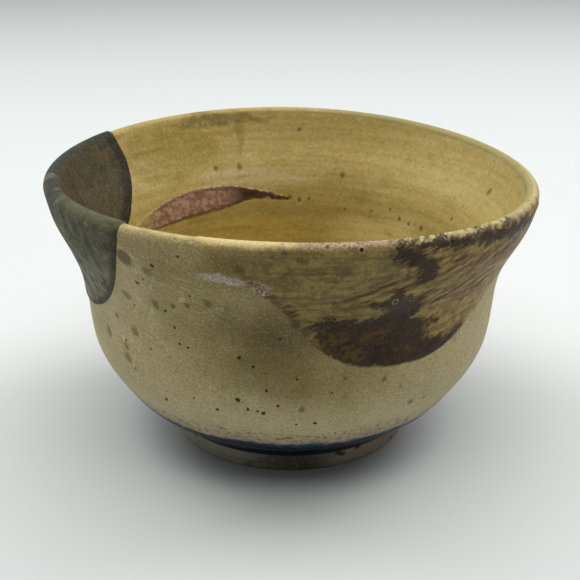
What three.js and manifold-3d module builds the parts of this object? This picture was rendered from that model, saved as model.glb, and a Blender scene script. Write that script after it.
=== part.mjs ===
// Hand-thrown stoneware tea bowl with a flared lip, a turned foot ring and layered ash glazes.
// Millimetres, +Z up. The origin is the centre of the foot ring, on the surface the bowl stands on.
// The front of the bowl is -Y. Angles run anticlockwise seen from above, from +X, so the front is at 270 degrees.
// The bowl is built up as the potter builds it: the clay first, then each coat of glaze on top of the last.
import * as THREE from "three";
import { mergeGeometries, mergeVertices } from "three/addons/utils/BufferGeometryUtils.js";
import Module from "manifold-3d";

const wasm = await Module();
wasm.setup();

// Driving sizes of the clay wall, from the foot up. Its outer face passes through each pair.
const BOWL_HEIGHT = 69.4;
const GLAZE_LINE_RADIUS = 34;
const GLAZE_LINE_HEIGHT = 8.1;
const HIP_RADIUS = 38.9;
const HIP_HEIGHT = 11.3;
const HAUNCH_RADIUS = 43.9;
const HAUNCH_HEIGHT = 16.6;
const BELLY_RADIUS = 50.3;
const BELLY_HEIGHT = 28;
const WAIST_RADIUS = 52.6;
const WAIST_HEIGHT = 45;
const FLARE_RADIUS = 55.4;
const FLARE_HEIGHT = 53.4;
const BRIM_RADIUS = 59.4;
const BRIM_HEIGHT = 61.6;
const LIP_RADIUS = 61.4;
const LIP_THICKNESS = 2.2;
const LIP_LEAN = 8;
const LIP_FLARE = 25;

// Thickness of the clay and shape of the well inside
const WALL = 4.4;
const BRIM_WALL = 3.4;
const FLOOR_THICKNESS = 5.6;
const WELL_RADIUS = 20;
const WELL_RISE = 0.6;
const CORNER_RADIUS = 36;
const CORNER_RISE = 5.6;

// Foot ring
const FOOT_RADIUS = 30.9;
const FOOT_WIDTH = 7;
const FOOT_HEIGHT = 6.2;
const FOOT_TAPER = 0.7;
const FOOT_EDGE = 0.7;
const BARE_FOOT = 4.2;
const FOOT_BOSS_RADIUS = 8;
const FOOT_BOSS_DEPTH = 1.2;

// Coats of glaze
const GLAZE = 0.6;
const DIP_GLAZE = 0.45;
const IRON_GLAZE = 0.35;
const STROKE_GLAZE = 0.3;
const BEAD_BULGE = 0.5;

// Unevenness of a bowl thrown by hand: it grows from nothing above the foot to its full size at the lip
const UNEVEN_FROM = 12;
const LIP_SLOPE = 1.35;
const LIP_SWAY = 1.1;
const LIP_TWIST = 0.35;
const OVAL = 0.0142;
const LOBE = 0.0104;
const LOBE_TURN = 0.0039;

// Outlines of the dark glaze dipped over the lip, outside and inside, as [degrees, height].
// Heights of glaze marks are hundredths of the bowl's height.
const DIP_OUTSIDE = [
  [234.8, 99.4], [233.6, 94.4], [230.2, 85.2], [223.5, 74.2], [215.7, 65.9], [207, 61], [199, 59.4],
  [190, 60.5], [180, 65.1], [170, 72.3], [160, 82.9], [151, 92.9], [147, 99.4],
];
const DIP_INSIDE = [
  [147, 99.4], [146.3, 95.1], [145.8, 89.3], [148, 82.6], [152.2, 76.1], [156.2, 71.2], [164, 65.7],
  [175, 62], [190, 60.8], [206, 62], [219, 66.3], [228, 72.8], [233.6, 82.1], [235.4, 92.2], [234.8, 99.4],
];

// Outline of the iron glaze brushed on under the lip, as [degrees, height]
const IRON_OUTLINE = [
  [252, 95.1], [257, 88.6], [264, 85], [271, 76.4], [277, 64.8], [285, 58.1], [295, 55.2],
  [306, 55.3], [318, 59.1], [328, 64.8], [336, 74.9], [341, 87.9], [343, 98],
];

// Centre line of the brush stroke inside, as [degrees, height, half width]
const STROKE_LINE = [
  [157, 64.6, 1.3], [150, 65.7, 2.4], [140.7, 67.3, 3.3], [130, 68.9, 3.7], [120, 69.3, 3.3],
  [112, 69.7, 2.3], [104, 68.9, 1.3], [97.3, 67.4, 1.2], [92, 66.6, 0.6],
];

// Facets
const FACETS = 48;
const UNDERSIDE_STEPS = 2;
const WALL_STEPS = 12;
const LIP_STEPS = 3;
const INNER_STEPS = 11;
const OUTLINE_STEPS = 44;

const RADIANS = Math.PI / 180;
const CUTTER_HEART = 5;
const CUTTER_REACH = 140;
const OVER_LIP = 12;
const BEAD_STEPS = 4;
const BOSS_STEPS = 2;

const point = (r, z) => new THREE.Vector2(r, z);
const first = (line) => line[0];
const last = (line) => line[line.length - 1];

// A smooth line through the points, sampled at even lengths
function smoothLine(points, steps) {
  return new THREE.SplineCurve(points).getSpacedPoints(steps);
}

// A circular arc from one angle to another, in degrees
function arcLine(centre, radius, from, to, steps) {
  const line = [];
  for (let i = 0; i <= steps; i++) {
    const a = (from + ((to - from) * i) / steps) * RADIANS;
    line.push(point(centre.x + radius * Math.cos(a), centre.y + radius * Math.sin(a)));
  }
  return line;
}

// Lines end to end as one line, each shared end kept once
function chain(...lines) {
  return lines.reduce((all, line) => [...all, ...line.slice(all.length ? 1 : 0)], []);
}

// The line moved to its right by a thickness, so an upward line moves away from the axis
function offsetLine(line, thickness, firstNormal, lastNormal) {
  return line.map((p, i) => {
    const before = line[Math.max(i - 1, 0)];
    const after = line[Math.min(i + 1, line.length - 1)];
    const along = after.clone().sub(before).normalize();
    let normal = point(along.y, -along.x);
    if (i === 0 && firstNormal) normal = firstNormal;
    if (i === line.length - 1 && lastNormal) normal = lastNormal;
    return p.clone().addScaledVector(normal, thickness);
  });
}

// Pulls a point of the even bowl to where it is on the uneven one
function throwByHand(p) {
  const rise = Math.max(0, (p.z - UNEVEN_FROM) / (BOWL_HEIGHT - UNEVEN_FROM));
  const w = rise * rise;
  const a = Math.atan2(p.y, p.x);
  const stretch = 1 + w * (LOBE * Math.cos(3 * a) + LOBE_TURN * Math.sin(3 * a) - OVAL * Math.cos(2 * a));
  const lift = LIP_TWIST * Math.sin(2 * a) - LIP_SLOPE * Math.cos(a) - LIP_SWAY * Math.cos(2 * a);
  return p.set(p.x * stretch, p.y * stretch, p.z + w * lift);
}

function warp(geometry) {
  const position = geometry.getAttribute("position");
  const p = new THREE.Vector3();
  for (let i = 0; i < position.count; i++) {
    throwByHand(p.fromBufferAttribute(position, i));
    position.setXYZ(i, p.x, p.y, p.z);
  }
  return geometry;
}

function flip(geometry) {
  const index = geometry.index.array;
  for (let i = 0; i < index.length; i += 3) {
    [index[i + 1], index[i + 2]] = [index[i + 2], index[i + 1]];
  }
  return geometry;
}

// One turned surface. Two solids that share a line get the same facets along it, so they meet face to face.
function turnedSkin(line) {
  const skin = new THREE.LatheGeometry(line, FACETS).rotateX(Math.PI / 2);
  skin.deleteAttribute("normal");
  skin.deleteAttribute("uv");
  return warp(skin);
}

// Joins shared vertices and drops the triangles that have shrunk to nothing
function weld(geometry) {
  const merged = mergeVertices(geometry, 1e-4);
  const old = merged.index.array;
  const kept = [];
  for (let i = 0; i < old.length; i += 3) {
    const [a, b, c] = [old[i], old[i + 1], old[i + 2]];
    if (a !== b && b !== c && c !== a) kept.push(a, b, c);
  }
  return merged.setIndex(kept);
}

function toSolid(geometry) {
  const welded = weld(geometry);
  const make = () =>
    new wasm.Manifold(
      new wasm.Mesh({
        numProp: 3,
        vertProperties: new Float32Array(welded.getAttribute("position").array),
        triVerts: new Uint32Array(welded.index.array),
      }),
    );
  const solid = make();
  if (solid.volume() > 0) return solid;
  flip(welded);
  return make();
}

function fromSolid(solid) {
  const mesh = solid.getMesh();
  return new THREE.BufferGeometry()
    .setAttribute("position", new THREE.BufferAttribute(mesh.vertProperties, 3))
    .setIndex(new THREE.BufferAttribute(mesh.triVerts, 1));
}

// A turned solid whose section is a ring of lines. A line marked back runs against the ring.
function turned(...runs) {
  const skins = runs.map(({ line, back }) => (back ? flip(turnedSkin(line)) : turnedSkin(line)));
  return toSolid(mergeGeometries(skins));
}

const on = (line) => ({ line, back: false });
const back = (line) => ({ line, back: true });
const straight = (a, b) => on([a, b]);
const straightBack = (a, b) => back([b, a]);

// A prism that stands out from the axis through an outline on the wall
function wallCutter(outline, closed) {
  const marks = outline.map(([degrees, share]) => point(degrees * RADIANS, (share / 100) * BOWL_HEIGHT));
  const curve = new THREE.SplineCurve(marks);
  const rim = curve.getPoints(OUTLINE_STEPS);
  if (!closed) {
    const top = BOWL_HEIGHT + OVER_LIP;
    rim.push(point(last(rim).x, top), point(first(rim).x, top));
  }
  const prism = new THREE.ExtrudeGeometry(new THREE.Shape(rim), { depth: 1, bevelEnabled: false });
  const position = prism.getAttribute("position");
  for (let i = 0; i < position.count; i++) {
    const r = CUTTER_HEART + (CUTTER_REACH - CUTTER_HEART) * position.getZ(i);
    const a = position.getX(i);
    position.setXYZ(i, r * Math.cos(a), r * Math.sin(a), position.getY(i));
  }
  prism.deleteAttribute("normal");
  prism.deleteAttribute("uv");
  return toSolid(warp(prism));
}

// Section of the clay
const footTop = point(FOOT_RADIUS - FOOT_TAPER, FOOT_HEIGHT);
const bareTop = point(FOOT_RADIUS - (FOOT_TAPER * BARE_FOOT) / FOOT_HEIGHT, BARE_FOOT);
const glazeLine = point(GLAZE_LINE_RADIUS, GLAZE_LINE_HEIGHT);
const belly = point(BELLY_RADIUS, BELLY_HEIGHT);
const waist = point(WAIST_RADIUS, WAIST_HEIGHT);
const flare = point(FLARE_RADIUS, FLARE_HEIGHT);
const brim = point(BRIM_RADIUS, BRIM_HEIGHT);
const lipRadius = LIP_THICKNESS / 2;
const lipCentre = point(LIP_RADIUS - lipRadius, BOWL_HEIGHT - lipRadius);
const lipOuter = arcLine(lipCentre, lipRadius, -LIP_LEAN, 90, LIP_STEPS);
const lipInner = arcLine(lipCentre, lipRadius, 90, 180 - LIP_FLARE, LIP_STEPS);

const underside = smoothLine([footTop, glazeLine], UNDERSIDE_STEPS);
const outerWall = smoothLine(
  [
    glazeLine,
    point(HIP_RADIUS, HIP_HEIGHT),
    point(HAUNCH_RADIUS, HAUNCH_HEIGHT),
    belly,
    waist,
    flare,
    brim,
    first(lipOuter),
  ],
  WALL_STEPS,
);
const outerClay = chain(outerWall, lipOuter);

const floorTop = FOOT_HEIGHT + FLOOR_THICKNESS;
const behind = (p, wall = WALL) => point(p.x - wall, p.y);
const innerWall = smoothLine(
  [
    last(lipInner),
    behind(brim, BRIM_WALL),
    behind(flare),
    behind(waist),
    behind(belly),
    point(CORNER_RADIUS, floorTop + CORNER_RISE),
    point(WELL_RADIUS, floorTop + WELL_RISE),
    point(0, floorTop),
  ],
  INNER_STEPS,
);
const innerClay = chain(lipInner, innerWall);

// Section of the coats, each from the crest of the lip
const up = point(0, 1);
const outerGlaze = offsetLine(outerClay, GLAZE, null, up);
const innerGlaze = offsetLine(innerClay, GLAZE, up, up);
const crest = last(lipOuter);

function makeThrownBody() {
  const boss = smoothLine(
    [
      point(0, FOOT_HEIGHT - FOOT_BOSS_DEPTH),
      point(FOOT_BOSS_RADIUS / 2, FOOT_HEIGHT - FOOT_BOSS_DEPTH / 2),
      point(FOOT_BOSS_RADIUS, FOOT_HEIGHT),
    ],
    BOSS_STEPS,
  );
  return turned(on(boss), straight(last(boss), footTop), on(underside), on(outerClay), on(innerClay));
}

function makeFootRing() {
  const innerRadius = FOOT_RADIUS - FOOT_WIDTH;
  const ring = [
    point(innerRadius + FOOT_EDGE, 0),
    point(FOOT_RADIUS - FOOT_EDGE, 0),
    point(FOOT_RADIUS, FOOT_EDGE),
    bareTop,
    footTop,
    point(innerRadius + FOOT_TAPER, FOOT_HEIGHT),
    point(innerRadius, FOOT_EDGE),
  ];
  return turned(...ring.map((p, i) => straight(p, ring[(i + 1) % ring.length])));
}

// The pool of dark glaze in the corner between the bowl and its foot
function makeGlazeBead() {
  const coatEdge = first(outerGlaze);
  const middle = coatEdge.clone().add(bareTop).multiplyScalar(0.5);
  const along = coatEdge.clone().sub(bareTop).normalize();
  const bulge = middle.addScaledVector(point(along.y, -along.x), BEAD_BULGE);
  const face = smoothLine([bareTop, bulge, coatEdge], BEAD_STEPS);
  return turned(
    on(face),
    straightBack(coatEdge, glazeLine),
    back(underside),
    straight(footTop, bareTop),
  );
}

function makeOuterCoat() {
  return turned(
    on(outerGlaze),
    straightBack(last(outerGlaze), crest),
    back(outerClay),
    straight(first(outerClay), first(outerGlaze)),
  );
}

function makeInnerCoat() {
  return turned(
    on(innerGlaze),
    straight(last(innerGlaze), last(innerClay)),
    back(innerClay),
    straight(crest, first(innerGlaze)),
  );
}

// A second coat lying on the outer or the inner one, whole round the bowl, to be cut to its outline
function secondCoat(line, thickness, ...normals) {
  const top = offsetLine(line, thickness, ...normals);
  return turned(
    on(top),
    straightBack(last(top), last(line)),
    back(line),
    straight(first(line), first(top)),
  );
}

// A tongue of dark glaze that runs over the lip and down both sides
function makeDarkDip() {
  const outer = secondCoat(outerGlaze, DIP_GLAZE, null, up).intersect(wallCutter(DIP_OUTSIDE, false));
  const inner = secondCoat(innerGlaze, DIP_GLAZE, up, up).intersect(wallCutter(DIP_INSIDE, false));
  return outer.add(inner);
}

function makeIronDip() {
  return secondCoat(outerGlaze, IRON_GLAZE, null, up).intersect(wallCutter(IRON_OUTLINE, false));
}

function makeStroke() {
  const above = STROKE_LINE.map(([degrees, share, half]) => [degrees, share + half]);
  const below = STROKE_LINE.map(([degrees, share, half]) => [degrees, share - half]).reverse();
  return secondCoat(innerGlaze, STROKE_GLAZE, up, up).intersect(wallCutter([...above, ...below], true));
}

function part(name, solid, color, roughness) {
  const material = new THREE.MeshStandardMaterial({ color, roughness, metalness: 0 });
  const mesh = new THREE.Mesh(fromSolid(solid), material);
  mesh.name = name;
  return mesh;
}

const teaBowl = new THREE.Group();
teaBowl.add(
  part("thrown_body", makeThrownBody(), "#a89878", 0.9),
  part("foot_ring", makeFootRing(), "#9c8f78", 0.9),
  part("inner_glaze_coat", makeInnerCoat(), "#a8945a", 0.55),
  part("outer_glaze_coat", makeOuterCoat(), "#a39a70", 0.65),
  part("foot_glaze_bead", makeGlazeBead(), "#141a2c", 0.2),
  part("dark_dip_glaze", makeDarkDip(), "#55564c", 0.6),
  part("iron_brushed_glaze", makeIronDip(), "#5b4a40", 0.7),
  part("inner_brush_stroke", makeStroke(), "#6f4f44", 0.7),
);

export default teaBowl;
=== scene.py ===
# %% [markdown]
# # A stoneware tea bowl under layered ash glazes
# The bowl is thrown on a wheel, so nearly all of it can be made by drawing half of its section and
# turning it round the wheel's axis. What makes it this bowl is the skin: two coats of ochre glaze, a dark
# glaze dipped over the lip, brushed iron glaze, and the dark pool where the glaze ran down to the foot.
# The measured model comes first, as a fixed frame. Its pieces are replaced one by one by finer ones.

import math

import bpy
import numpy as np
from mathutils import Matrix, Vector


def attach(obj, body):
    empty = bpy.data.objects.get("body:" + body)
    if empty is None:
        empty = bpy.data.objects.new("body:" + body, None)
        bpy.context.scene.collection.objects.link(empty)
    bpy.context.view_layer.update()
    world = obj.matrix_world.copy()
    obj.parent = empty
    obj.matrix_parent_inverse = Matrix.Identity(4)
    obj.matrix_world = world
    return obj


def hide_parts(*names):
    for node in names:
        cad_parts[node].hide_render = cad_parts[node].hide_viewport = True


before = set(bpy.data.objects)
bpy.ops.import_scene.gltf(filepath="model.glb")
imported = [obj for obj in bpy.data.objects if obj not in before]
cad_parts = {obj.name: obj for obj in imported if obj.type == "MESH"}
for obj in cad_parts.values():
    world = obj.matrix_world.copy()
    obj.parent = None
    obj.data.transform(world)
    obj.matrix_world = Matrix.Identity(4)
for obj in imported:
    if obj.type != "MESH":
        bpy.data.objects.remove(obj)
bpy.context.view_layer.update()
print("measured nodes:", sorted(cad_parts))

# %% [markdown]
# ## The camera
# The picture looks down at the bowl from a little above its lip. Height and distance were worked out from
# the ellipse of the lip and from the foot, and the lens from how much the far side of the lip shrinks.

# %% Camera
MM = 0.001
CAMERA_AT = (-0.14, -268.0, 145.2)
CAMERA_TILT = 22.13
FOCAL_PIXELS = 1100
PICTURE_PIXELS = 580
SENSOR = 36

camera_data = bpy.data.cameras.new("bowl_camera")
camera_data.sensor_width = SENSOR
camera_data.lens = FOCAL_PIXELS / PICTURE_PIXELS * SENSOR
camera_data.clip_start = 0.01
camera = bpy.data.objects.new("bowl_camera", camera_data)
camera.location = Vector(CAMERA_AT) * MM
camera.rotation_euler = (math.radians(90 - CAMERA_TILT), 0, 0)
bpy.context.scene.collection.objects.link(camera)
bpy.context.scene.camera = camera
print("lens in mm:", round(camera_data.lens, 1))

# %% [markdown]
# ## Half a section of the clay
# A potter's profile is a smooth line through a few widths: glaze line, hip, haunch, belly, waist, flare,
# lip. A Catmull-Rom line passes through all of them, and it is sampled evenly so that the turned faces
# are regular. These are the same sizes as in the measured model, in millimetres.

# %% Sizes of the section
BOWL_HEIGHT = 69.4
LIP_RADIUS = 61.4
LIP_THICKNESS = 2.2
LIP_LEAN = 8
LIP_FLARE = 25
WALL = 4.4
BRIM_WALL = 3.4
GLAZE_LINE = (34, 8.1)
HIP = (38.9, 11.3)
HAUNCH = (43.9, 16.6)
BELLY = (50.3, 28)
WAIST = (52.6, 45)
FLARE = (55.4, 53.4)
BRIM = (59.4, 61.6)
FLOOR_TOP = 11.8
CORNER = (36, FLOOR_TOP + 5.6)
WELL = (20, FLOOR_TOP + 0.6)
GLAZE = 0.6
SPAN_SAMPLES = 60


def smooth_line(points, step):
    """A Catmull-Rom line through the points, with a point about every step millimetres."""
    p = np.array(points, float)
    p = np.vstack([p[0], p, p[-1]])
    t = np.linspace(0, 1, SPAN_SAMPLES, endpoint=False)[:, None]
    spans = []
    for a, b, c, d in zip(p, p[1:], p[2:], p[3:]):
        v, w = (c - a) / 2, (d - b) / 2
        spans.append((2 * b - 2 * c + v + w) * t**3 + (-3 * b + 3 * c - 2 * v - w) * t**2 + v * t + b)
    line = np.vstack(spans + [p[-1:]])
    run = run_along(line)
    even = np.linspace(0, run[-1], max(2, round(run[-1] / step)) + 1)
    return np.stack([np.interp(even, run, line[:, i]) for i in (0, 1)], axis=1)


def run_along(line):
    """How far each point is along a line."""
    return np.concatenate([[0], np.cumsum(np.linalg.norm(np.diff(line, axis=0), axis=1))])


def arc_line(centre, radius, start, end, steps):
    """A round stretch of the section, between two angles in degrees."""
    a = np.radians(np.linspace(start, end, steps + 1))
    return np.stack([centre[0] + radius * np.cos(a), centre[1] + radius * np.sin(a)], axis=1)


def beside(line, distance):
    """The line moved to its right, so that an upward line moves outwards."""
    along = np.gradient(line, axis=0)
    along /= np.linalg.norm(along, axis=1)[:, None]
    return line + distance * np.stack([along[:, 1], -along[:, 0]], axis=1)


# %% [markdown]
# The lip is a small round. The outer and the inner face are drawn apart, since each has a coat of its
# own. Faces that show have fine steps, and hidden ones have coarse steps.

# %% Both faces of the wall
FINE = 0.8
COARSE = 6
LIP_STEPS = 22
COARSE_LIP_STEPS = 5
lip_centre = (LIP_RADIUS - LIP_THICKNESS / 2, BOWL_HEIGHT - LIP_THICKNESS / 2)


def behind(place, wall=WALL):
    """The inner face of the wall across from a place on its outer face."""
    return (place[0] - wall, place[1])


def outer_section(step, lip_steps):
    """The clay's outer face from the glaze line up to the crest of the lip."""
    lip = arc_line(lip_centre, LIP_THICKNESS / 2, -LIP_LEAN, 90, lip_steps)
    wall = smooth_line([GLAZE_LINE, HIP, HAUNCH, BELLY, WAIST, FLARE, BRIM, lip[0]], step)
    return np.vstack([wall[:-1], lip])


def inner_section(step, lip_steps):
    """The clay's inner face from the crest of the lip down to the middle of the floor."""
    lip = arc_line(lip_centre, LIP_THICKNESS / 2, 90, 180 - LIP_FLARE, lip_steps)
    down = [behind(BRIM, BRIM_WALL), behind(FLARE), behind(WAIST), behind(BELLY), CORNER, WELL]
    return np.vstack([lip[:-1], smooth_line([lip[-1]] + down + [(0, FLOOR_TOP)], step)])


outer_glaze = beside(outer_section(FINE, LIP_STEPS), GLAZE)
inner_glaze = beside(inner_section(FINE, LIP_STEPS), GLAZE)
inner_glaze[-1] = (0, FLOOR_TOP + GLAZE)
clay_out = outer_section(COARSE, COARSE_LIP_STEPS)
clay_in = inner_section(COARSE, COARSE_LIP_STEPS)
print("points in the outer and the inner section:", len(outer_glaze), len(inner_glaze))

# %% [markdown]
# ## Turning on the wheel
# The section is drawn point by point by extruding one vertex, and a Screw modifier turns it round the
# axis. The Spin operator makes the same shape, but it grows slow with hundreds of steps. Both can turn
# only part of the way, which the glaze patches need.

# %% Turn a section into a piece
SIDES = 480
WELD = 1e-6


def pick(piece=None):
    """Leaves nothing selected but the piece, because an operator works on all that is."""
    if bpy.context.object and bpy.context.object.mode != "OBJECT":
        bpy.ops.object.mode_set(mode="OBJECT")
    bpy.ops.object.select_all(action="DESELECT")
    if piece:
        piece.select_set(True)
        bpy.context.view_layer.objects.active = piece


def turn(name, line, sides=SIDES, start=0, sweep=360):
    """Draws a section line at the start angle and turns it round the bowl's axis by the sweep, in degrees."""
    pick()
    a = math.radians(start)
    places = [Vector((r * math.cos(a), r * math.sin(a), z)) * MM for r, z in line]
    bpy.ops.mesh.primitive_plane_add(size=MM, location=(0, 0, 0))
    piece = bpy.context.object
    piece.name = name
    bpy.ops.object.mode_set(mode="EDIT")
    bpy.ops.mesh.select_all(action="SELECT")
    bpy.ops.mesh.merge(type="CENTER")
    bpy.ops.transform.translate(value=places[0])
    for here, there in zip(places, places[1:]):
        bpy.ops.mesh.extrude_region_move(TRANSFORM_OT_translate={"value": there - here})
    bpy.ops.object.mode_set(mode="OBJECT")
    wheel = piece.modifiers.new("wheel", "SCREW")
    wheel.axis = "Z"
    wheel.angle = math.radians(sweep)
    wheel.steps = sides
    wheel.render_steps = sides
    wheel.use_merge_vertices = sweep == 360
    wheel.merge_threshold = WELD
    bpy.ops.object.modifier_apply(modifier="wheel")
    if sweep == 360:
        bpy.ops.object.mode_set(mode="EDIT")
        bpy.ops.mesh.select_all(action="SELECT")
        bpy.ops.mesh.remove_doubles(threshold=WELD)
        bpy.ops.mesh.normals_make_consistent(inside=False)
        bpy.ops.object.mode_set(mode="OBJECT")
    return piece


# %% [markdown]
# ## Thrown by hand
# No hand-thrown bowl is quite round. Seen from above, this one's lip is a soft oval with a slight third
# corner, and it is lower on the right. The unevenness grows with height, from nothing above the foot.
# Each point's even height is kept as an attribute, because the glaze marks are placed by it.

# %% Pull a piece out of true and settle it
UNEVEN_FROM = 12
LIP_SLOPE = 1.35
LIP_SWAY = 1.1
LIP_TWIST = 0.35
OVAL = 0.0142
LOBE = 0.0104
LOBE_TURN = 0.0039
SMOOTH_ANGLE = 40


def points_of(piece):
    """The piece's vertices, in millimetres."""
    co = np.empty(len(piece.data.vertices) * 3)
    piece.data.vertices.foreach_get("co", co)
    return co.reshape(-1, 3) / MM


def keep_value(piece, name, values):
    """Stores one number for each vertex, for the finishes to read."""
    attribute = piece.data.attributes.new(name, "FLOAT", "POINT")
    attribute.data.foreach_set("value", np.ascontiguousarray(values, np.float32))


def throw_by_hand(piece):
    """Moves an evenly turned piece to where it lies on the uneven bowl."""
    p = points_of(piece)
    keep_value(piece, "height", p[:, 2])
    w = np.clip((p[:, 2] - UNEVEN_FROM) / (BOWL_HEIGHT - UNEVEN_FROM), 0, None) ** 2
    a = np.arctan2(p[:, 1], p[:, 0])
    stretch = 1 + w * (LOBE * np.cos(3 * a) + LOBE_TURN * np.sin(3 * a) - OVAL * np.cos(2 * a))
    p[:, 0] *= stretch
    p[:, 1] *= stretch
    p[:, 2] += w * (LIP_TWIST * np.sin(2 * a) - LIP_SLOPE * np.cos(a) - LIP_SWAY * np.cos(2 * a))
    piece.data.vertices.foreach_set("co", (p * MM).ravel())
    piece.data.update()


def settle(piece, node):
    """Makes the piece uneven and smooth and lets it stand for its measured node."""
    throw_by_hand(piece)
    pick(piece)
    bpy.ops.object.shade_smooth_by_angle(angle=math.radians(SMOOTH_ANGLE))
    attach(piece, "root")
    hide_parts(node)
    print(piece.name, "faces:", len(piece.data.polygons))


# %% [markdown]
# ## The clay body
# The body shows only inside the foot ring, where the potter turned it flat and left a small boss in the
# middle. The rest of it lies under glaze, so it has few points.

# %% Clay body
FOOT_RADIUS = 30.9
FOOT_WIDTH = 7
FOOT_HEIGHT = 6.2
FOOT_TAPER = 0.7
FOOT_TOP = (FOOT_RADIUS - FOOT_TAPER, FOOT_HEIGHT)
BOSS = [(0, FOOT_HEIGHT - 1.2), (2.5, FOOT_HEIGHT - 1.05), (5.5, FOOT_HEIGHT - 0.3), (8, FOOT_HEIGHT)]
CLAY_SIDES = 192

underside = np.vstack([smooth_line(BOSS, FINE), [FOOT_TOP, GLAZE_LINE]])
clay_body = turn("clay_body", np.vstack([underside, clay_out[1:], clay_in[1:]]), CLAY_SIDES)
settle(clay_body, "thrown_body")

# %% [markdown]
# ## The foot ring
# The bowl stands on a ring that was turned out of the leather-hard clay and left bare. Its edges were
# softened with a wet finger, so the section has small round corners. It is turned as a closed line, like
# a tyre.

# %% Foot ring
FOOT_CORNER = 0.7
CORNER_STEPS = 6
OUTER_WALL_POINTS = 8
INNER_WALL_POINTS = 6
foot_inner = FOOT_RADIUS - FOOT_WIDTH


def foot_section():
    """The ring's section, with round corners where it meets the table."""
    right, left = FOOT_RADIUS - FOOT_CORNER, foot_inner + FOOT_CORNER
    outer_corner = arc_line((right, FOOT_CORNER), FOOT_CORNER, -90, 0, CORNER_STEPS)
    inner_corner = arc_line((left, FOOT_CORNER), FOOT_CORNER, 180, 270, CORNER_STEPS)
    outer_wall = np.linspace(outer_corner[-1], FOOT_TOP, OUTER_WALL_POINTS)[1:]
    inner_top = (foot_inner + FOOT_TAPER, FOOT_HEIGHT)
    inner_wall = np.linspace(inner_top, inner_corner[0], INNER_WALL_POINTS)[:-1]
    return np.vstack([outer_corner, outer_wall, inner_wall, inner_corner, outer_corner[:1]])


foot = turn("foot_ring_turned", foot_section(), SIDES // 2)
settle(foot, "foot_ring")

# %% [markdown]
# ## The two coats of ochre glaze
# Glaze lies on the clay like a thick skin. Each coat is a closed shell: its face is the fine section, and
# its hidden back is the clay's coarse section. The coats meet along the crest of the lip.

# %% Glaze coats
outer_coat = turn("outer_ochre_glaze", np.vstack([outer_glaze, clay_out[::-1], outer_glaze[:1]]))
settle(outer_coat, "outer_glaze_coat")
inner_coat = turn("inner_ochre_glaze", np.vstack([inner_glaze[::-1], clay_in]))
settle(inner_coat, "inner_glaze_coat")

# %% [markdown]
# ## The pooled bead at the foot
# Ash glaze runs when it melts. It stopped in the corner above the bare foot ring as a thick glossy bead.
# Its face is a line through three points, of which the middle one bulges out.

# %% Foot bead
BARE_FOOT = 4.2
BEAD_BULGE = 0.5
BEAD_STEP = 0.25
bare_top = np.array((FOOT_RADIUS - FOOT_TAPER * BARE_FOOT / FOOT_HEIGHT, BARE_FOOT))
coat_edge = outer_glaze[0]
up = (coat_edge - bare_top) / np.linalg.norm(coat_edge - bare_top)
bulge = (bare_top + coat_edge) / 2 + BEAD_BULGE * np.array((up[1], -up[0]))
bead_face = smooth_line([bare_top, bulge, coat_edge], BEAD_STEP)
bead = turn("pooled_glaze_bead", np.vstack([bead_face, [GLAZE_LINE, FOOT_TOP], bare_top[None]]))
settle(bead, "foot_glaze_bead")

# %% [markdown]
# ## Glaze laid over glaze
# A second glaze lies on the first as a thin skin that thickens quickly from its edge. A patch is turned
# over part of the circle, and each of its points is told how far it lies inside the patch's outline.
# Outlines are pairs of degrees round the bowl and millimetres up it. On this wall a degree is about a
# millimetre.

# %% Depth inside an outline
OUTLINE_STEP = 0.4
OVER_LIP = 30
TINY = 1e-12


def outline_line(marks, open_top=False):
    """A closed smooth outline through the marks. An open one goes straight up past the lip."""
    line = smooth_line(marks, OUTLINE_STEP)
    if open_top:
        top = BOWL_HEIGHT + OVER_LIP
        line = np.vstack([line, (line[-1][0], top), (line[0][0], top)])
    return line


def depth_inside(place, line):
    """How far each place lies inside a closed outline, in millimetres, and below nought outside it."""
    x, y = place[:, 0], place[:, 1]
    best = np.full(len(x), np.inf)
    inside = np.zeros(len(x), bool)
    for (ax, ay), (bx, by) in zip(line, np.roll(line, -1, axis=0)):
        ex, ey = bx - ax, by - ay
        t = np.clip(((x - ax) * ex + (y - ay) * ey) / (ex * ex + ey * ey + TINY), 0, 1)
        best = np.minimum(best, np.hypot(x - ax - t * ex, y - ay - t * ey))
        inside ^= ((ay > y) != (by > y)) & (x < ex * (y - ay) / (ey + TINY) + ax)
    return np.where(inside, best, -best)


def wall_places(piece):
    """Degrees round the bowl and millimetres up it, for each point of a piece that isn't yet uneven."""
    p = points_of(piece)
    degrees = np.degrees(np.arctan2(p[:, 1], p[:, 0])) % 360
    return np.stack([degrees, p[:, 2]], axis=1)


# %% [markdown]
# A Displace modifier first tucks the whole skin a little under the coat below, and a second one raises it
# by a vertex group that grows from the outline inwards. The edge that shows is where the skin comes out
# of the coat, so it is as smooth as the outline. Solidify gives the skin a back, and the mesh is closed
# again.

# %% Lay a patch of glaze
TUCK = 0.12
EDGE_RISE = 1.1
TRIM = 1.4
SKIN = 0.25


def smooth_step(x):
    """Rises from 0 to 1 with soft ends."""
    x = np.clip(x, 0, 1)
    return x * x * (3 - 2 * x)


def face_the_right_way(piece, inside):
    """An open skin on the outer wall faces away from the axis, and one on the inner wall faces it."""
    face = max(piece.data.polygons, key=lambda f: f.area)
    outwards = face.center.xy.dot(face.normal.xy) > 0
    if outwards == inside:
        piece.data.flip_normals()


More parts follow.
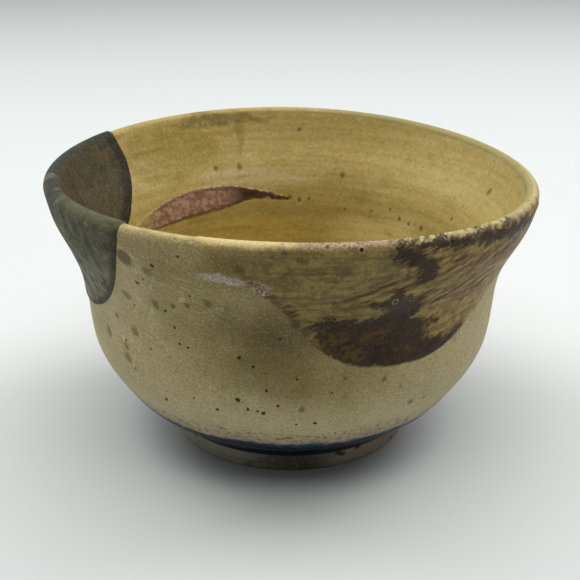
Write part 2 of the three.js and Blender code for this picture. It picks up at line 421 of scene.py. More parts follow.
def lay_glaze(piece, depth, thickness, inside=False):
    """Trims a turned skin to its outline, raises it from its edge and gives it a back."""
    keep_value(piece, "edge", depth)
    raised = piece.vertex_groups.new(name="raised")
    for i, share in enumerate(smooth_step((depth + EDGE_RISE / 2) / EDGE_RISE)):
        raised.add([i], float(share), "REPLACE")
    pick(piece)
    bpy.ops.object.mode_set(mode="EDIT")
    bpy.ops.mesh.select_mode(type="VERT")
    bpy.ops.mesh.select_all(action="DESELECT")
    bpy.ops.object.mode_set(mode="OBJECT")
    piece.data.vertices.foreach_set("select", depth < -TRIM)
    bpy.ops.object.mode_set(mode="EDIT")
    bpy.ops.mesh.delete(type="VERT")
    bpy.ops.object.mode_set(mode="OBJECT")
    face_the_right_way(piece, inside)
    for name, strength, group in (("tuck", -TUCK, ""), ("rise", thickness + TUCK, "raised")):
        push = piece.modifiers.new(name, "DISPLACE")
        push.strength = strength * MM
        push.mid_level = 0
        push.vertex_group = group
    back = piece.modifiers.new("back", "SOLIDIFY")
    back.thickness = SKIN * MM
    back.offset = -1
    for modifier in ("tuck", "rise", "back"):
        bpy.ops.object.modifier_apply(modifier=modifier)
    piece.vertex_groups.clear()


# %% [markdown]
# ## The dark dipped glaze
# The lip was dipped into a dark glaze, so this skin follows both faces of the wall: up the outside, over
# the crest and down the inside. How far a point is across the lip is kept: below nought outside and above
# it inside.

# %% Dark dipped glaze
DIP_GLAZE = 0.45
DIP_FROM = 143
DIP_SWEEP = 97
DIP_LOW = 39
DIP_STEP = 0.55
DIP_SIDES = 300
DIP_OUTSIDE = [
    (234.8, 69), (233.6, 65.5), (230.2, 59.1), (223.5, 51.5), (215.7, 45.7), (207, 42.3), (199, 41.2),
    (190, 42), (180, 45.2), (170, 50.2), (160, 57.5), (151, 64.5), (147, 69),
]
DIP_INSIDE = [
    (147, 69), (146.3, 66), (145.8, 62), (148, 57.3), (152.2, 52.8), (156.2, 49.4), (164, 45.6),
    (175, 43), (190, 42.2), (206, 43), (219, 46), (228, 50.5), (233.6, 57), (235.4, 64), (234.8, 69),
]

dip_outer = beside(outer_section(DIP_STEP, LIP_STEPS), GLAZE)
dip_inner = beside(inner_section(DIP_STEP, LIP_STEPS), GLAZE)
dip_line = np.vstack([dip_outer, dip_inner[1:]])
run = run_along(dip_line)
run -= run[len(dip_outer) - 1]
high = dip_line[:, 1] > DIP_LOW
dip_line, run = dip_line[high], run[high]

dip = turn("dark_dipped_glaze", dip_line, DIP_SIDES, DIP_FROM, DIP_SWEEP)
p = points_of(dip)
radius = np.hypot(p[:, 0], p[:, 1])
nearest = np.argmin(np.hypot(radius[:, None] - dip_line[:, 0], p[:, 2:3] - dip_line[:, 1]), axis=1)
across = run[nearest]
keep_value(dip, "across", across)
place = wall_places(dip)
depths = [depth_inside(place, outline_line(marks, True)) for marks in (DIP_OUTSIDE, DIP_INSIDE)]
lay_glaze(dip, np.where(across < 0, *depths), DIP_GLAZE)
settle(dip, "dark_dip_glaze")

# %% [markdown]
# ## The brushed iron glaze
# Iron glaze was brushed on over the ochre. The full brush left a dense crescent with a blob above it, a
# comma and a ragged line along the lip. Between them the brush ran dry. Both kinds of mark are outlines
# too, in degrees to the right of the front, and the depth inside them is kept for the finish, which frays
# their edges.

# %% Marks of the brush
FRONT = 270
CRESCENT = [
    (4.2, 51.3), (8.8, 51.9), (11.6, 50.9), (16.7, 50.9), (19.6, 50.9), (21.5, 51.3), (21.9, 52.6),
    (18.2, 54), (17.1, 55.2), (20.5, 55.4), (22.1, 57.9), (23.8, 57.9), (25.5, 56.5), (27, 56.5),
    (28.6, 55.6), (30.4, 53.8), (30.6, 51.5), (29.2, 49.4), (33, 48.4), (37.5, 47), (34, 45.2),
    (36.5, 42.8), (42, 42), (47, 43.4), (49, 43), (44.5, 39.6), (38, 37.6), (30.6, 36.8), (22.5, 37.4),
    (15, 39.1), (9, 42), (5.5, 47.5),
]
COMMA = [
    (19.8, 69.2), (22.6, 69.4), (26, 67.4), (29.9, 65), (31, 63), (30.2, 60), (27.4, 59.8),
    (26.4, 62.8), (23.4, 64.4), (19.8, 66.2),
]
LIP_STROKE = [
    (22.5, 69.2), (26, 70), (30, 69.6), (34, 69.1), (38, 69.2), (42, 69.5), (50, 69.6), (60, 69.4),
    (68, 68.4), (70, 66.8), (64, 65.2), (57, 64.8), (52, 65.2), (48, 65.6), (44, 65.8), (38.5, 67),
    (33, 67), (28, 68.2), (24, 68),
]
DRY_MIDDLE = [
    (8, 54.8), (14, 54), (18, 56), (23, 57), (28, 57.5), (33, 61), (32, 64), (27, 62.5), (22, 62),
    (16, 60), (10, 57.5),
]
DRY_DIAGONAL = [
    (-9.5, 65.5), (-7.6, 64), (-6.2, 61.5), (-4, 58.6), (-1.5, 56.8), (2, 54.6), (4.5, 50.8), (8, 47),
    (6.5, 45.5), (1, 49.2), (-1.5, 52), (-5, 55.6), (-7, 58.4), (-8.6, 61.2), (-10.6, 64),
]
DRY_RIGHT = [
    (27, 56), (33, 51), (40, 49.5), (50, 52), (60, 58), (70, 64.5), (74, 70), (60, 69), (48, 66),
    (38, 66.5), (31, 66), (33, 60),
]


def deepest(place, shapes):
    """The depth inside whichever of the shapes reaches furthest over each place."""
    return np.max([depth_inside(place, outline_line(shape) + (FRONT, 0)) for shape in shapes], axis=0)


# %% [markdown]
# The patch as a whole has one outline, which is open at the top because the glaze runs up to the crest of
# the lip.

# %% Brushed iron glaze
IRON_GLAZE = 0.3
IRON_FROM = 248
IRON_SWEEP = 99
IRON_LOW = 35
IRON_STEP = 0.45
IRON_SIDES = 240
IRON_OUTLINE = [
    (252, 66), (257, 61.5), (263.5, 58.5), (269.5, 52.5), (275.5, 44.6), (284, 39.2), (295, 37.3),
    (306, 37.4), (316, 40.2), (325, 45.2), (333.5, 53), (340, 61.5), (343, 68),
]

iron_line = beside(outer_section(IRON_STEP, LIP_STEPS), GLAZE)
iron_line = iron_line[iron_line[:, 1] > IRON_LOW]
iron = turn("brushed_iron_glaze", iron_line, IRON_SIDES, IRON_FROM, IRON_SWEEP)
place = wall_places(iron)
keep_value(iron, "full_brush", deepest(place, [CRESCENT, COMMA, LIP_STROKE]))
keep_value(iron, "dry_brush", deepest(place, [DRY_MIDDLE, DRY_DIAGONAL, DRY_RIGHT]))
lay_glaze(iron, depth_inside(place, outline_line(IRON_OUTLINE, True)), IRON_GLAZE)
settle(iron, "iron_brushed_glaze")

# %% [markdown]
# ## The brush stroke inside
# One short stroke of iron on the far wall, broad at its left and drawn out to a dry line at its right. It
# is written as a middle line with a half width at each place, and its outline follows from that.

# %% Brush stroke inside
STROKE_GLAZE = 0.2
STROKE_FROM = 88
STROKE_SWEEP = 74
STROKE_LOW = 40
STROKE_HIGH = 54
STROKE_STEP = 0.35
STROKE_SIDES = 180
STROKE_LINE = [
    (157, 44.6, 1.1), (150, 45.3, 2.1), (140.7, 46, 3.0), (130, 46.9, 3.6), (120, 47.3, 3.6),
    (112, 47.6, 3.0), (106, 47.8, 1.9), (100, 47.4, 1.2), (95, 46.6, 0.8), (91, 46.1, 0.4),
]

stroke_line = beside(inner_section(STROKE_STEP, LIP_STEPS), GLAZE)
band = (stroke_line[:, 1] > STROKE_LOW) & (stroke_line[:, 1] < STROKE_HIGH)
stroke = turn("iron_brush_stroke", stroke_line[band], STROKE_SIDES, STROKE_FROM, STROKE_SWEEP)
above = [(a, z + half) for a, z, half in STROKE_LINE]
below = [(a, z - half) for a, z, half in STROKE_LINE[::-1]]
depth = depth_inside(wall_places(stroke), outline_line(above + below))
lay_glaze(stroke, depth, STROKE_GLAZE, inside=True)
settle(stroke, "inner_brush_stroke")

# %% [markdown]
# ## Finishes
# Every glaze is a procedural material. Broad colour comes from slow noise, the powdery grain from fine
# noise, and each mark that the kiln left is a soft spot placed round the wall and up it. One function
# adds a node, and colours are written as they look and turned to linear light by another.

# %% Colours and nodes
NOISE = "ShaderNodeTexNoise"
STRETCH = "ShaderNodeMapping"
SPLIT = "ShaderNodeSeparateXYZ"
ROTATE = "ShaderNodeVectorRotate"
STORED = "ShaderNodeAttribute"
RANGE = "ShaderNodeMapRange"
MATH = "ShaderNodeMath"
VECTOR = "ShaderNodeVectorMath"
MIX = "ShaderNodeMix"
VORONOI = "ShaderNodeTexVoronoi"
FADE = (RANGE, {"interpolation_type": "SMOOTHSTEP"})
TIMES = (MATH, {"operation": "MULTIPLY"})
PLUS = (MATH, {"operation": "ADD"})
MOST = (MATH, {"operation": "MAXIMUM"})
TIMES_PLUS = (MATH, {"operation": "MULTIPLY_ADD"})
SCALED = (VECTOR, {"operation": "SCALE"})
PLACE_TIMES = (VECTOR, {"operation": "MULTIPLY"})
PLACE_PLUS = (VECTOR, {"operation": "ADD"})
PLACE_MINUS = (VECTOR, {"operation": "SUBTRACT"})
ABOUT_Z = (ROTATE, {"rotation_type": "Z_AXIS"})
CELLS = (VORONOI, {"feature": "F1"})
CELL_EDGES = (VORONOI, {"feature": "DISTANCE_TO_EDGE", "voronoi_dimensions": "2D"})
BLEND = (MIX, {"data_type": "RGBA"})
DARKEN = (MIX, {"data_type": "RGBA", "blend_type": "MULTIPLY"})
AS_COLOUR = 1
AS_NUMBER = 2
OBJECT_PLACE = 3


def colour(text):
    """A colour written as #rrggbb, in linear light."""
    parts = [int(text[i : i + 2], 16) / 255 for i in (1, 3, 5)]
    linear = [c / 12.92 if c <= 0.04045 else ((c + 0.055) / 1.055) ** 2.4 for c in parts]
    return (*linear, 1)


def add(tree, kind, *values, output=0, **named):
    """Adds a node with its settings, links or fills its inputs in order or by name, and returns an output."""
    kind, settings = kind if isinstance(kind, tuple) else (kind, {})
    node = tree.nodes.new(kind)
    for name, value in settings.items():
        setattr(node, name, value)
    shown = [s for s in node.inputs if s.enabled]
    by_name = {s.name: s for s in reversed(shown)}
    given = [*zip(shown, values), *((by_name[name], value) for name, value in named.items())]
    for socket, value in given:
        if isinstance(value, bpy.types.NodeSocket):
            tree.links.new(value, socket)
        else:
            socket.default_value = value
    return [s for s in node.outputs if s.enabled][output] if len(node.outputs) else None


# %% [markdown]
# A stain lays one colour over another as a value goes from one limit to another. A glaze is a pile of
# them, written as rows: the value, where the stain starts, where it is full, its share, its colour and,
# for some, a mask. Relief piles up in the same way, in millimetres.

# %% Stains and relief


def stain(tree, tone, value, low, high, share, text, where=None, how=BLEND):
    """Lays a colour over the tone: none of it where the value is at low, and its full share at high."""
    amount = add(tree, FADE, value, low, high, 0, share)
    if where is not None:
        amount = add(tree, TIMES, amount, where)
    return add(tree, how, Factor=amount, A=tone, B=colour(text))


def stains(tree, tone, rows):
    """Lays one stain after another."""
    for row in rows:
        tone = stain(tree, tone, *row)
    return tone


def pile_up(tree, relief, rows):
    """Adds to a relief: each row is a value and how many millimetres it raises the glaze."""
    for value, rise in rows:
        relief = add(tree, TIMES_PLUS, value, rise, relief)
    return relief


# %% [markdown]
# Marks are placed on the wall as if it were unrolled: degrees to the right of the middle, and the even
# height. Outside, the middle is the front. Inside, it is the far wall, because that is the part that
# shows.

# %% Unrolled wall
OUTSIDE = -1
INSIDE = 1


def stored(tree, *names):
    """The numbers that were kept for each point of a piece."""
    return [add(tree, (STORED, {"attribute_name": name}), output=AS_NUMBER) for name in names]


def unrolled(tree, facing):
    """The place on the unrolled wall, the place in space in millimetres, and the wall's two coordinates."""
    place = add(tree, "ShaderNodeTexCoord", output=OBJECT_PLACE)
    grain = add(tree, SCALED, place, Scale=1 / MM)
    x, y = (add(tree, SPLIT, place, output=axis) for axis in (0, 1))
    ahead = add(tree, TIMES, y, facing)
    turned = add(tree, (MATH, {"operation": "ARCTAN2"}), x, ahead)
    degrees = add(tree, (MATH, {"operation": "DEGREES"}), turned)
    [height] = stored(tree, "height")
    wall = add(tree, "ShaderNodeCombineXYZ", degrees, height)
    return wall, grain, degrees, height


# %% [markdown]
# A mark is an oval on that wall. Noise that pushes the wall's places about gives it a ragged edge.

# %% Marks on the wall


def spot(tree, wall, place, size, soft=0.6, tilt=0):
    """A soft oval on the unrolled wall: 1 in the middle and 0 outside its half width and half height."""
    off = add(tree, PLACE_MINUS, wall, (*place, 0))
    if tilt:
        off = add(tree, ABOUT_Z, off, Angle=-math.radians(tilt))
    shape = add(tree, (VECTOR, {"operation": "DIVIDE"}), off, (*size, 1))
    far = add(tree, (VECTOR, {"operation": "LENGTH"}), shape)
    return add(tree, FADE, far, 1, 1 - soft)


def ovals(tree, wall, rows):
    """Several soft ovals as one mark, each with its place, size, softness and tilt."""
    seen = 0.0
    for row in rows:
        seen = add(tree, MOST, spot(tree, wall, *row), seen)
    return seen


def spots(tree, wall, places, soft=0.6):
    """Several small round spots, each with its place and half width."""
    seen = 0.0
    for x, z, size in places:
        far = add(tree, (VECTOR, {"operation": "DISTANCE"}), wall, (x, z, 0))
        one = add(tree, FADE, far, size, size * (1 - soft))
        seen = add(tree, MOST, one, seen)
    return seen


def patches(tree, tone, wall, rows, how=BLEND):
    """Stains soft ovals: the place, size and softness of each, where it is full, its share and colour."""
    for place, size, soft, full, share, text in rows:
        tone = stain(tree, tone, spot(tree, wall, place, size, soft), 0, full, share, text, None, how)
    return tone


def warped(tree, wall, grain, per_mm, reach):
    """The wall's places pushed about by noise, so that what is placed by them gets a ragged edge."""
    push = add(tree, NOISE, grain, per_mm, 3, output=AS_COLOUR)
    push = add(tree, PLACE_MINUS, push, (0.5, 0.5, 0.5))
    push = add(tree, PLACE_TIMES, push, (reach, reach, 0))
    return add(tree, PLACE_PLUS, wall, push)


# %% [markdown]
# ## The ochre glaze outside
# A wood-ash glaze over iron-bearing clay: khaki where it is thick, cream where it is thin, with broad
# warm and greenish clouds from the flame. Slow noise gives the clouds, and wide soft patches set them
# where they lie. The two widest patches, over the middle of the front, are partly painted shade.

# %% Clouds of the ochre glaze, and painted shade at the front
CLOUD_AND_SHADE_PATCHES = [
    # The first two rows are partly the glaze's own olive and partly painted shade over the middle of the
    # front.
    ((-4, 49), (22, 15), 0.95, 1, 0.7, "#736745"),
    ((-2, 63), (20, 8), 0.9, 1, 0.6, "#695a30"),
    ((-29, 66), (10, 5), 0.9, 1, 0.4, "#857243"),
    ((-15, 69), (4.5, 1.8), 0.9, 1, 0.6, "#b28837"),
    ((-3.6, 45), (7, 4), 0.95, 1, 0.3, "#565d4c"),
    ((-15, 49), (6, 4), 0.95, 1, 0.3, "#7f7b48"),
]


def clouds_and_front_shade(tree, wall, grain, height, middling):
    """The broad khaki, cream and brown of the outside, with some painted shade at the front."""
    broad = add(tree, NOISE, grain, 0.045, 3)
    hue = add(tree, NOISE, grain, 0.075, 3, 0.6)
    belt = add(tree, TIMES_PLUS, middling, 16, height)
    rows = [
        (broad, 0.36, 0.66, 1.0, "#b2a475"),
        (middling, 0.5, 0.7, 0.35, "#b2976c"),
        (middling, 0.46, 0.3, 0.5, "#8f8352"),
        (height, 36, 20, 0.8, "#b7ad88"),
        (hue, 0.5, 0.66, 0.3, "#b39672"),
        (hue, 0.48, 0.32, 0.35, "#94905f"),
        (belt, 62, 74, 0.6, "#857445"),
    ]
    tone = stains(tree, colour("#a29465"), rows)
    return patches(tree, tone, warped(tree, wall, grain, 0.1, 12), CLOUD_AND_SHADE_PATCHES)


# %% [markdown]
# The glaze crawled a little as it dried and healed in the fire, which left pale hairlines, most of them
# on the left. They are the edges of large flattened cells, bent by noise and shown only in a few areas.

# %% Hairlines
CRAZED = [(-22, 55, 13), (-33, 59.5, 8), (-46, 38, 9), (-37, 48, 7)]
HAIRLINE_SLANT = 32


def hairlines(tree, wall, grain, dust):
    """Where the fine pale lines run."""
    bent = warped(tree, wall, grain, 0.22, 7)
    bent = add(tree, ROTATE, bent, Axis=(0, 0, 1), Angle=math.radians(HAIRLINE_SLANT))
    bent = add(tree, PLACE_TIMES, bent, (0.12, 0.34, 0))
    crawl = add(tree, CELL_EDGES, bent, Scale=1)
    lines = add(tree, FADE, crawl, 0.085, 0.0)
    broken = add(tree, FADE, dust, 0.4, 0.52)
    lines = add(tree, TIMES, lines, broken)
    return add(tree, TIMES, lines, spots(tree, wall, CRAZED, 0.8))


# %% [markdown]
# Bubbles that healed left soft brown pocks. A brown line marks where the brushed iron's wash starts, and
# the middle of the front is darkened with painted shade, a multiplied stain over wide patches.

# %% Pocks, brown line and painted shade
SOFT_POCKS = [
    (-30, 60.5, 1.8), (-41, 51.4, 1.9), (-32, 51.4, 1.9), (-17.9, 54.3, 2.0), (-42, 41.5, 2.2),
    (-55.3, 37.4, 2.2), (-47.2, 33.5, 2.4), (-49.4, 43.6, 1.5), (-26.9, 51.8, 1.2), (13, 35.8, 1.0),
    (23.6, 34.1, 1.2), (34.2, 25.4, 1.6), (3, 27.9, 1.3), (-47, 36.5, 1.8), (-23, 53, 1.0), (29, 31, 0.8),
]
# The pale disc behind the dark pock shows at its upper left. It is a painted highlight on the pock's rim.
DARK_POCK_AND_HIGHLIGHT = [
    ((-35.9, 63.2), (3.2, 3.2), 0.5, 1, 0.4, "#bdb389"),
    ((-35.3, 62.8), (3.0, 2.8), 0.8, 0.7, 0.85, "#504421"),
]
BROWN_LINE = [
    ((-8.6, 63.4), (2.8, 1.2), 0.9, -58),
    ((-4.6, 58.6), (4.6, 1.5), 0.8, -42),
    ((1, 52), (4.6, 1.5), 0.8, -52),
]
# Painted shade: these patches multiply the middle of the front darker, on the side away from the lamps.
PAINTED_FRONT_SHADE = [
    ((4, 44), (34, 27), 0.95, 0.8, 1, "#d2ccb9"),
    ((-3, 64), (24, 9), 0.95, 0.7, 1, "#d2c8ab"),
    ((-1, 45), (17, 12), 0.95, 0.9, 1, "#e7e6db"),
    ((-23, 52), (17, 19), 0.9, 0.7, 1, "#dedccd"),
    ((-7, 36), (22, 9), 0.95, 0.7, 1, "#e8e7dd"),
]


def pocks_and_painted_shade(tree, tone, wall, grain, ragged, dust):
    """The soft brown marks, a painted highlight on one pock, and painted shade over the middle of the front.
    """
    tone = stain(tree, tone, spots(tree, ragged, SOFT_POCKS, 0.9), 0, 0.9, 0.65, "#564a22")
    tone = patches(tree, tone, wall, DARK_POCK_AND_HIGHLIGHT)
    clotted = add(tree, FADE, dust, 0.38, 0.54)
    tone = stain(tree, tone, ovals(tree, ragged, BROWN_LINE), 0, 0.9, 0.75, "#4b3b1c", clotted)
    return patches(tree, tone, warped(tree, wall, grain, 0.08, 10), PAINTED_FRONT_SHADE, DARKEN)


# %% [markdown]
# A powdery lilac trail lies across the wall and ends in a speckled knot, with brown drops below it. The
# powder is the fine noise again, cut off at a level.

# %% Lilac trail
LILAC_TRAIL = [((-13.4, 61.5), (8, 1.9), 0.8, -5), ((-5.6, 59.9), (3.4, 2.3), 0.6, -24)]
KNOT = ((-5, 59.4), (3, 2), 0.7, -24)
BROWN_DROPS = [(-3.6, 57.8, 1.3), (-0.8, 54, 1.0), (1, 50.4, 1.6), (-2.2, 56, 0.9)]
AMBER_DROP = [((-2.2, 52.6), (2.6, 1.6), 0.9, 1, 0.4, "#8a6a34")]


def lilac_trail(tree, tone, ragged, grit):
    """The pale trail, its knot and the drops below it."""
    trail = ovals(tree, ragged, LILAC_TRAIL)
    limits = ((0.26, 0.46), (0.54, 0.64), (0.54, 0.44))
    powder, sparkle, pitted = (add(tree, FADE, grit, low, high) for low, high in limits)
    rows = [
        (trail, 0, 0.9, 0.7, "#a3978c", powder),
        (trail, 0, 0.9, 0.55, "#d2cbc3", sparkle),
        (spot(tree, ragged, *KNOT), 0, 0.6, 0.9, "#35261f", pitted),
        (spots(tree, ragged, BROWN_DROPS, 0.7), 0, 1, 0.75, "#47351c"),
    ]
    return patches(tree, stains(tree, tone, rows), ragged, AMBER_DROP)


# %% [markdown]
# On the lip the glaze is thin and cream. Iron dust from the brush settled on it at the right, in mauve
# and brown. Noise is added to the height, so that the border isn't level.

# %% Lip
CREAM = (70.4, 71.7)


def lip_colours(tree, tone, degrees, height, middling, grit, dust):
    """The cream crest and the mauve dust on it."""
    brim = add(tree, TIMES_PLUS, middling, 3.5, height)
    lower = add(tree, FADE, degrees, -8, -26, 0, -1.1)
    brim = add(tree, PLUS, brim, lower)
    bare = add(tree, FADE, degrees, 24, 38, 1, 0.35)
    crest = add(tree, FADE, brim, *CREAM)
    crest = add(tree, TIMES, crest, bare)
    rusty = add(tree, TIMES_PLUS, dust, 22, degrees)
    start = add(tree, FADE, rusty, 8, 15)
    finish = add(tree, FADE, rusty, 37, 30)
    rusty = add(tree, TIMES, start, finish)
    mauve = add(tree, TIMES_PLUS, dust, 3, height)
    specks = add(tree, FADE, mauve, 69.8, 71)
    specks = add(tree, TIMES, specks, rusty)
    rows = [
        (brim, *CREAM, 0.8, "#c9b97e", bare),
        (grit, 0.52, 0.72, 0.5, "#e2d6a2", crest),
        (mauve, 69.6, 71, 0.75, "#8f715c", rusty),
        (grit, 0.5, 0.36, 0.8, "#553829", specks),
        (grit, 0.54, 0.7, 0.6, "#ceb699", specks),
    ]
    return stains(tree, tone, rows)


# %% [markdown]
# Lower down the melted glaze ran and grew thick: mauve dust first, then a grey halo, a blue and a teal
# border and the blue-black pool, which is glossy. All of them are stains by one uneven height.

# %% Above the foot
DRIPS = [(-60.5, 16.8, 2.3), (-57.5, 15, 1.9), (-64, 18.8, 1.6), (-53.5, 13.8, 1.6)]


def run_down(tree, tone, grain, degrees, height, middling, dust, ragged):
    """The colours above the foot, and how much of each place is pool."""
    flow = pile_up(tree, height, [(middling, 5), (dust, 2.6)])
    climb = add(tree, FADE, degrees, -8, -60, -2.6, -4.2)
    flow = add(tree, PLUS, flow, climb)
    clot = add(tree, NOISE, grain, 0.85, 3, 0.7)
    freckled = add(tree, FADE, clot, 0.52, 0.6)
    rows = [
        (flow, 22, 19, 0.85, "#513f2c", freckled),
        (flow, 20.5, 17.5, 0.35, "#a0826e"),
        (flow, 17.6, 16.6, 0.45, "#8b8c7c"),
        (flow, 16.7, 15.6, 0.8, "#34465a"),
        (flow, 16.2, 15.3, 0.9, "#183440"),
        (flow, 15.5, 14.6, 0.9, "#071628"),
        (spots(tree, ragged, DRIPS, 0.7), 0, 0.8, 0.9, "#17180f"),
    ]
    return stains(tree, tone, rows), add(tree, FADE, flow, 15.4, 13.8)


# %% [markdown]
# Gas that escaped late left pinholes. The large ones are placed one by one, and fine ones are scattered
# in about a third of the cells of a coarse cell pattern.

# %% Pinholes
PINHOLES = [
    (-34.8, 56.4, 0.59), (-28.1, 62.5, 0.47), (-39.7, 49.2, 0.42), (-29.7, 50.1, 0.51), (-28.2, 46, 0.38),
    (-27.5, 42.1, 0.42), (-37.1, 38.6, 0.42), (-8.9, 39, 0.52), (-12.2, 41, 0.52), (-2.4, 46.3, 0.42),
    (-13.2, 30, 0.78), (-19.2, 26.2, 0.6), (-6.9, 26.7, 0.72), (-8.3, 27.3, 0.38), (-10.8, 27.7, 0.51),
    (-5.9, 33, 0.42), (1.4, 36.2, 0.42), (-3.2, 29.2, 0.42), (6.5, 23.4, 0.51), (-35.1, 25.3, 0.56),
    (-25.4, 28.4, 0.38), (-32.3, 58, 0.38), (-21.6, 55.8, 0.34), (-44.4, 31.3, 0.42), (-3.4, 67.8, 0.42),
    (-1, 68.6, 0.42), (13.1, 69.1, 0.51), (6.7, 69.8, 0.3), (10.2, 32.4, 0.34), (-46.6, 38.1, 0.51),
]
FINE_PER_MM = 0.13
FINE_SHARE = 0.35


def pinholes(tree, wall, grain):
    """Where the pinholes are."""
    holes = spots(tree, warped(tree, wall, grain, 1.1, 0.9), PINHOLES, 0.6)
    far, which = (add(tree, CELLS, grain, Scale=FINE_PER_MM, output=output) for output in (0, 1))
    which = add(tree, SPLIT, which)
    kept = add(tree, (MATH, {"operation": "LESS_THAN"}), which, FINE_SHARE)
    fine = add(tree, FADE, far, 0.05, 0.03)
    fine = add(tree, TIMES, fine, kept)
    return add(tree, MOST, holes, fine)


# %% [markdown]
# The glaze is a node group, because the iron patch lies on it and has to match it where they meet. It is
# satin: tiny crystals give it a powdery grain. They are too fine to show, so they are drawn about half a
# millimetre wide.

# %% Ochre glaze group
OCHRE_NOISES = [(0.14, 3, 0.6), (2.1, 2, 0.7), (0.5, 4, 0.7)]
SATIN, WET = 0.5, 0.14


def glaze_group(name, glaze):
    """A node group that gives a glaze's colour, roughness and relief in millimetres."""
    tree = bpy.data.node_groups.new(name, "ShaderNodeTree")
    outputs = {"Colour": "Color", "Roughness": "Float", "Relief": "Float"}
    for socket, kind in outputs.items():
        tree.interface.new_socket(socket, in_out="OUTPUT", socket_type="NodeSocket" + kind)
    add(tree, "NodeGroupOutput", *glaze(tree))
    print(name, "nodes:", len(tree.nodes))
    return tree


def ochre_outside(tree):
    """The outside's ochre glaze, laid from the broad to the fine."""
    wall, grain, degrees, height = unrolled(tree, OUTSIDE)
    middling, grit, dust = (add(tree, NOISE, grain, a, b, c) for a, b, c in OCHRE_NOISES)
    ragged = warped(tree, wall, grain, 0.35, 2.2)
    lines = hairlines(tree, wall, grain, dust)
    rows = [
        (grit, 0.5, 0.72, 0.42, "#d7c99b"),
        (grit, 0.5, 0.3, 0.5, "#665b36"),
        (dust, 0.56, 0.74, 0.3, "#7d6d43"),
        (dust, 0.44, 0.28, 0.3, "#c8b889"),
        (lines, 0, 1, 0.6, "#d9cc9f"),
    ]
    tone = stains(tree, clouds_and_front_shade(tree, wall, grain, height, middling), rows)
    tone = pocks_and_painted_shade(tree, tone, wall, grain, ragged, dust)
    tone = lilac_trail(tree, tone, ragged, grit)
    tone = lip_colours(tree, tone, degrees, height, middling, grit, dust)
    tone, pool = run_down(tree, tone, grain, degrees, height, middling, dust, ragged)
    holes = pinholes(tree, wall, grain)
    tone = stain(tree, tone, holes, 0, 0.7, 0.94, "#241906")
    rings = add(tree, STRETCH, grain, Scale=(0.03, 0.03, 1))
    rings = add(tree, NOISE, rings, 0.35, 1)
    rises = [(rings, 0.35), (grit, 0.06), (dust, 0.16), (middling, 0.5), (holes, -0.4), (lines, 0.08)]
    gloss = add(tree, RANGE, pool, 0, 1, SATIN, WET)
    return tone, gloss, pile_up(tree, 0.0, rises)


ochre = glaze_group("ochre ash glaze", ochre_outside)

# %% [markdown]
# Each finish ends in the same surface: colour under glass, with its relief as bumps. A fired glaze is
# glass, so the IOR is 1.5. The mirror share is low, because the matte skins here scatter most of what
# they reflect.

# %% Coat a piece
GLASS_IOR = 1.5
MATTE_SHEEN = 0.2


def new_material(name):
    """A material whose tree starts empty."""
    material = bpy.data.materials.new(name)
    material.use_nodes = True
    material.node_tree.nodes.clear()
    return material


def share_glaze(tree, group):
    """A shared glaze in this tree: its colour, roughness and relief."""
    node = tree.nodes.new("ShaderNodeGroup")
    node.node_tree = group
    return [node.outputs[name] for name in ("Colour", "Roughness", "Relief")]


def coat(piece, name, finish, *details, sheen=MATTE_SHEEN):
    """Makes a material of a finish and gives the piece this one material."""
    material = new_material(name)
    tree = material.node_tree
    tone, gloss, relief = finish(tree, *details)
    bump = add(tree, "ShaderNodeBump", Strength=1.0, Distance=MM, Height=relief)
    inputs = {"Base Color": tone, "Roughness": gloss, "Normal": bump}
    inputs.update({"IOR": GLASS_IOR, "Specular IOR Level": sheen})
    shader = add(tree, "ShaderNodeBsdfPrincipled", **inputs)
    add(tree, "ShaderNodeOutputMaterial", Surface=shader)
    piece.data.materials.clear()
    piece.data.materials.append(material)
    print(piece.name, "is coated with", name)


coat(outer_coat, "ochre ash glaze outside", share_glaze, ochre)

# %% [markdown]
# ## The iron finish
# Iron oxide was brushed over the ochre glaze. A thin wash of it lies over the whole patch and fades out
# at the upper left. Where the brush ran dry it left slanting streaks, which are noise stretched along the
# brush's way.

# %% Wash and dry strokes
BRUSH_SLANT = 21
FAR_RIGHT = ((57, 66.5), (15, 5), 0.8)


def iron_wash(tree, tone, wall, degrees, height, edge, slow, grit, fray):
    """The olive ground under the strokes."""
    level = add(tree, STRETCH, wall, Scale=(0.1, 1, 1))
    level = add(tree, NOISE, level, 0.6, 3, 0.65)
    rows = [
        (degrees, 16, 44, 1.0, "#a0803a"),
        (slow, 0.46, 0.64, 0.6, "#5d4c23"),
        (grit, 0.5, 0.74, 0.45, "#a08f59"),
        (grit, 0.5, 0.28, 0.55, "#433718"),
        (fray, 0.48, 0.62, 0.7, "#51401b"),
        (level, 0.48, 0.64, 0.7, "#4e3e19"),
        (level, 0.46, 0.32, 0.5, "#93814a"),
    ]
    ground = stains(tree, colour("#80713b"), rows)
    wash = add(tree, FADE, edge, 0, 2.5)
    for value, low, high in ((degrees, -14, 2), (height, 70.4, 68.8)):
        fade = add(tree, FADE, value, low, high)
        wash = add(tree, TIMES, wash, fade)
    thin = add(tree, TIMES, wash, 0.9)
    return add(tree, BLEND, Factor=thin, A=tone, B=ground)


